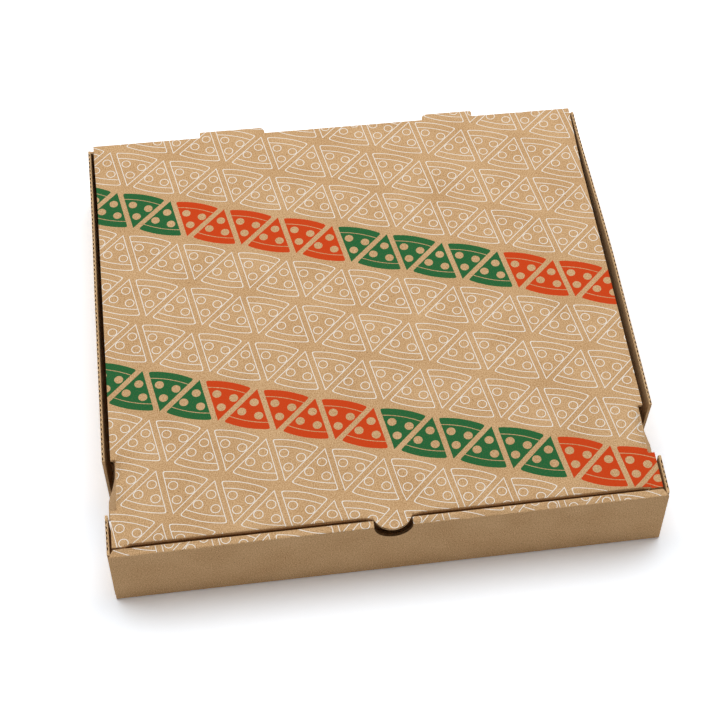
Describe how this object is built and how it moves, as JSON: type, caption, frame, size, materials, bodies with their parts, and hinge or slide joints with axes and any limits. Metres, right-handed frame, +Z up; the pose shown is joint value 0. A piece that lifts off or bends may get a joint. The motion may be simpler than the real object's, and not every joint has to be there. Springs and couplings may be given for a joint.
{
  "type": "pizza box",
  "caption": "Flat square takeaway box folded from one sheet of corrugated kraft board, with a rolled front wall, open-ended side walls and a lid that swings up on its back fold.",
  "frame": {"origin": "middle of the underside, between the front and back faces and between the side walls", "axes": "+X to the right seen from the front, +Y from the front wall to the back fold, +Z up"},
  "size_m": [0.3012, 0.2953, 0.0446],
  "materials": {
    "kraft_board": "uncoated brown kraft liner on corrugated board, matt",
    "printed_kraft_board": "uncoated brown kraft liner, matt, printed in white, green and red"
  },
  "bodies": {
    "tray": {"tray": "kraft_board"},
    "lid": {"lid": "printed_kraft_board"}
  },
  "joints": [
    {"name": "lid_hinge", "type": "hinge", "parent": "tray", "child": "lid", "pos_m": [0, 0.14405, 0.04385], "axis": [-1, 0, 0], "range_deg": [0, 180]}
  ]
}
